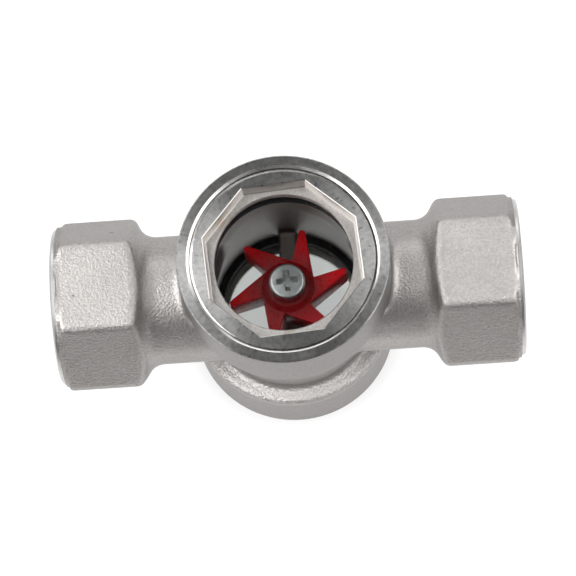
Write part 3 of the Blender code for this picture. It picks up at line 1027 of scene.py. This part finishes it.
def cross_outline(span, width):
    """The outline of a cross recess at one depth."""
    half, arm = span / 2, width / 2
    corners = ((half, -arm, 0.16), (half, arm, 0.16), (arm, arm, 0.12))
    outline = []
    for quarter in range(4):
        spin = math.radians(90 * quarter + CROSS_TURN)
        cosine, sine = math.cos(spin), math.sin(spin)
        for x, y, fillet in corners:
            outline.append((x * cosine - y * sine, x * sine + y * cosine, fillet))
    return rounded(outline, 3)


def make_screw(looks):
    """The pan head screw: threaded at its foot, plain above, with a cross recess."""
    low, top = SCREW_LOW[2], SCREW_HIGH[2]
    head_radius = SCREW_HIGH[0]

    def crest_limit(height):
        if height < SCREW_THREAD_TOP:
            return min(SCREW_RADIUS, SCREW_RADIUS - SCREW_TIP_CHAMFER + (height - low))
        return SCREW_SHANK_RADIUS

    points, faces = threaded(
        low, SCREW_HEAD_BASE + 0.4, SCREW_CORE_RADIUS, SCREW_RADIUS, SCREW_PITCH, 48, crest_limit
    )
    screw = mesh_object("pivot_pan_screw", points, faces, looks)
    head = rounded([
        (0.0, SCREW_HEAD_BASE, 0),
        (head_radius, SCREW_HEAD_BASE, 0.15),
        (head_radius, top - SCREW_HEAD_CROWN, SCREW_HEAD_ROUNDING),
        (0.0, top, 0),
    ], 6)
    carve(screw, turned_object("tool", head, 96, looks), "UNION")
    sections = [(cross_outline(span, width), top + height) for span, width, height in CROSS_SECTIONS]
    carve(screw, mesh_object("tool", *lofted(sections), looks))
    smooth(screw, 32)
    return mounted(screw, "housing", "zinc_steel", "pivot_screw")


def make_pivot(looks):
    """The shouldered sleeve that the impeller turns on, and the washers below and above it."""
    low, high = SLEEVE_LOW[2], SLEEVE_HIGH[2]
    collar = SLEEVE_HIGH[0]
    profile = rounded([
        (SLEEVE_BORE_RADIUS, low, SLEEVE_ROUNDING),
        (collar, low, COLLAR_ROUNDING),
        (collar, SLEEVE_COLLAR_TOP, COLLAR_ROUNDING),
        (SLEEVE_RADIUS, SLEEVE_COLLAR_TOP, SLEEVE_ROUNDING),
        (SLEEVE_RADIUS, high, SLEEVE_ROUNDING),
        (SLEEVE_BORE_RADIUS, high, SLEEVE_ROUNDING),
    ])
    sleeve = smooth(turned_object("shouldered_sleeve", profile, 96, looks), 40)
    mounted(sleeve, "housing", "bearing_steel", "pivot_sleeve")
    washers = (
        ("hub_washer", "lower_thrust_washer", HUB_BORE_RADIUS, LOWER_WASHER_LOW, LOWER_WASHER_HIGH),
        ("head_washer", "upper_thrust_washer", SLEEVE_BORE_RADIUS, UPPER_WASHER_LOW, UPPER_WASHER_HIGH),
    )
    for name, node, inner, low, high in washers:
        profile = washer_profile(inner, high[0], low[2], high[2], WASHER_ROUNDING)
        washer = smooth(turned_object(name, profile, 96, looks), 40)
        mounted(washer, "housing", "bearing_steel", node)


# ---------------------------------------------------------------- stage


# In metres and degrees
GLOW_REACH = 0.4
FLOOR_HALF_SIZE = 3.0
CAMERA_DISTANCE = 0.666
CAMERA_ELEVATION = 75.217
CAMERA_AZIMUTH = 7.14
CAMERA_ROLL = -10.72
CAMERA_LENS = 188.4
CAMERA_AIM = Vector((-0.0002, 0.0009, 0.0002))


def make_camera():
    """A long lens, looking down steeply at the upper window."""
    data = bpy.data.cameras.new("camera")
    data.lens = CAMERA_LENS
    data.sensor_width = 36.0
    data.clip_end = 20.0
    camera = bpy.data.objects.new("camera", data)
    bpy.context.scene.collection.objects.link(camera)
    up, around = math.radians(CAMERA_ELEVATION), math.radians(CAMERA_AZIMUTH)
    away = Vector((math.cos(up) * math.sin(around), -math.cos(up) * math.cos(around), math.sin(up)))
    camera.location = CAMERA_AIM + away * CAMERA_DISTANCE
    look = away.to_track_quat("Z", "Y").to_matrix() @ Matrix.Rotation(math.radians(CAMERA_ROLL), 3, "Z")
    camera.rotation_euler = look.to_euler()
    bpy.context.scene.camera = camera


def make_floor():
    """A pale table that glows softly round the object as painted light, dimmer under the body as a painted
    shadow.
    """
    look = Look("floor_white")
    look.fix(Roughness=0.9)
    look.shader.inputs["Emission Color"].default_value = (1.0, 1.0, 1.0, 1.0)
    reach = look.maths("MULTIPLY", distance_from_z(look), 1 / GLOW_REACH)
    # Painted light: the floor glows round the object, and glows less in the middle as a painted shadow under
    # the body.
    painted_glow = look.ramp(reach, (0.04, 0.55), (0.065, 0.96), (0.24, 0.96), (0.55, 0.0))
    look.drive(Emission_Strength=painted_glow)
    # Near the object the floor's colour is darker, which keeps cast shadows faint against the painted glow.
    look.drive(Base_Color=look.ramp(reach, (0.24, 0.14), (0.9, 0.70)))
    size = FLOOR_HALF_SIZE / MM
    corners = [(x * size, y * size, -HALF_HEIGHT) for x, y in ((-1, -1), (1, -1), (1, 1), (-1, 1))]
    floor = mesh_object("floor", corners, [[0, 1, 2, 3]], [look.material])


def make_lamp(name, azimuth, elevation, distance, size, radiance):
    """A softbox that faces the origin. Azimuth is in degrees from +X."""
    data = bpy.data.lights.new(name, "AREA")
    data.shape = "RECTANGLE"
    data.size, data.size_y = size
    data.energy = radiance * math.pi * size[0] * size[1]
    lamp = bpy.data.objects.new(name, data)
    bpy.context.scene.collection.objects.link(lamp)
    up, around = math.radians(elevation), math.radians(azimuth)
    away = Vector((math.cos(up) * math.cos(around), math.cos(up) * math.sin(around), math.sin(up)))
    lamp.location = away * distance
    lamp.rotation_euler = away.to_track_quat("Z", "Y").to_euler()


def make_light():
    """Two large softboxes beside the object, smaller ones before and behind it, and a pale-walled room."""
    world = bpy.data.worlds.new("studio")
    bpy.context.scene.world = world
    world.use_nodes = True
    nodes, links = world.node_tree.nodes, world.node_tree.links
    place = nodes.new("ShaderNodeTexCoord")
    split = nodes.new("ShaderNodeSeparateXYZ")
    links.new(place.outputs["Generated"], split.inputs[0])
    walls = nodes.new("ShaderNodeMath")
    walls.operation = "POWER"
    walls.use_clamp = True
    links.new(split.outputs[1], walls.inputs[0])
    walls.inputs[1].default_value = 2.0
    room = nodes.new("ShaderNodeMath")
    links.new(walls.outputs[0], room.inputs[0])
    room.inputs[1].default_value = 0.06
    links.new(room.outputs[0], nodes["Background"].inputs["Strength"])
    make_lamp("left_box", 180, 48, 0.8, (0.87, 0.78), 3.55)
    make_lamp("right_box", 0, 46, 0.8, (0.87, 0.78), 2.4)
    make_lamp("front_fill", -90, 62, 0.9, (0.6, 0.3), 0.4)
    make_lamp("back_box", 90, 28, 0.9, (0.8, 0.40), 2.4)
    bpy.context.scene.view_settings.view_transform = "Standard"


def main():
    turned, bright = turned_steel(), edge_steel()
    window_looks = {
        "ring": (turned, recess_steel(), bright),
        "glass": (window_glass(),),
        "rubber": (rubber(),),
    }
    make_body((cast_steel(), turned, bore_steel(), end_steel(), bright))
    make_window("upper", 1, window_looks)
    make_window("lower", -1, window_looks)
    make_impeller((red_plastic(),))
    make_screw((plated_steel("zinc_plate", (0.46, 0.47, 0.475), (0.62, 0.63, 0.635), 0.28, 0.42),))
    make_pivot((plated_steel("bearing_steel_ground", (0.50, 0.50, 0.51), (0.60, 0.60, 0.61), 0.24, 0.36),))
    make_camera()
    make_floor()
    make_light()


main()
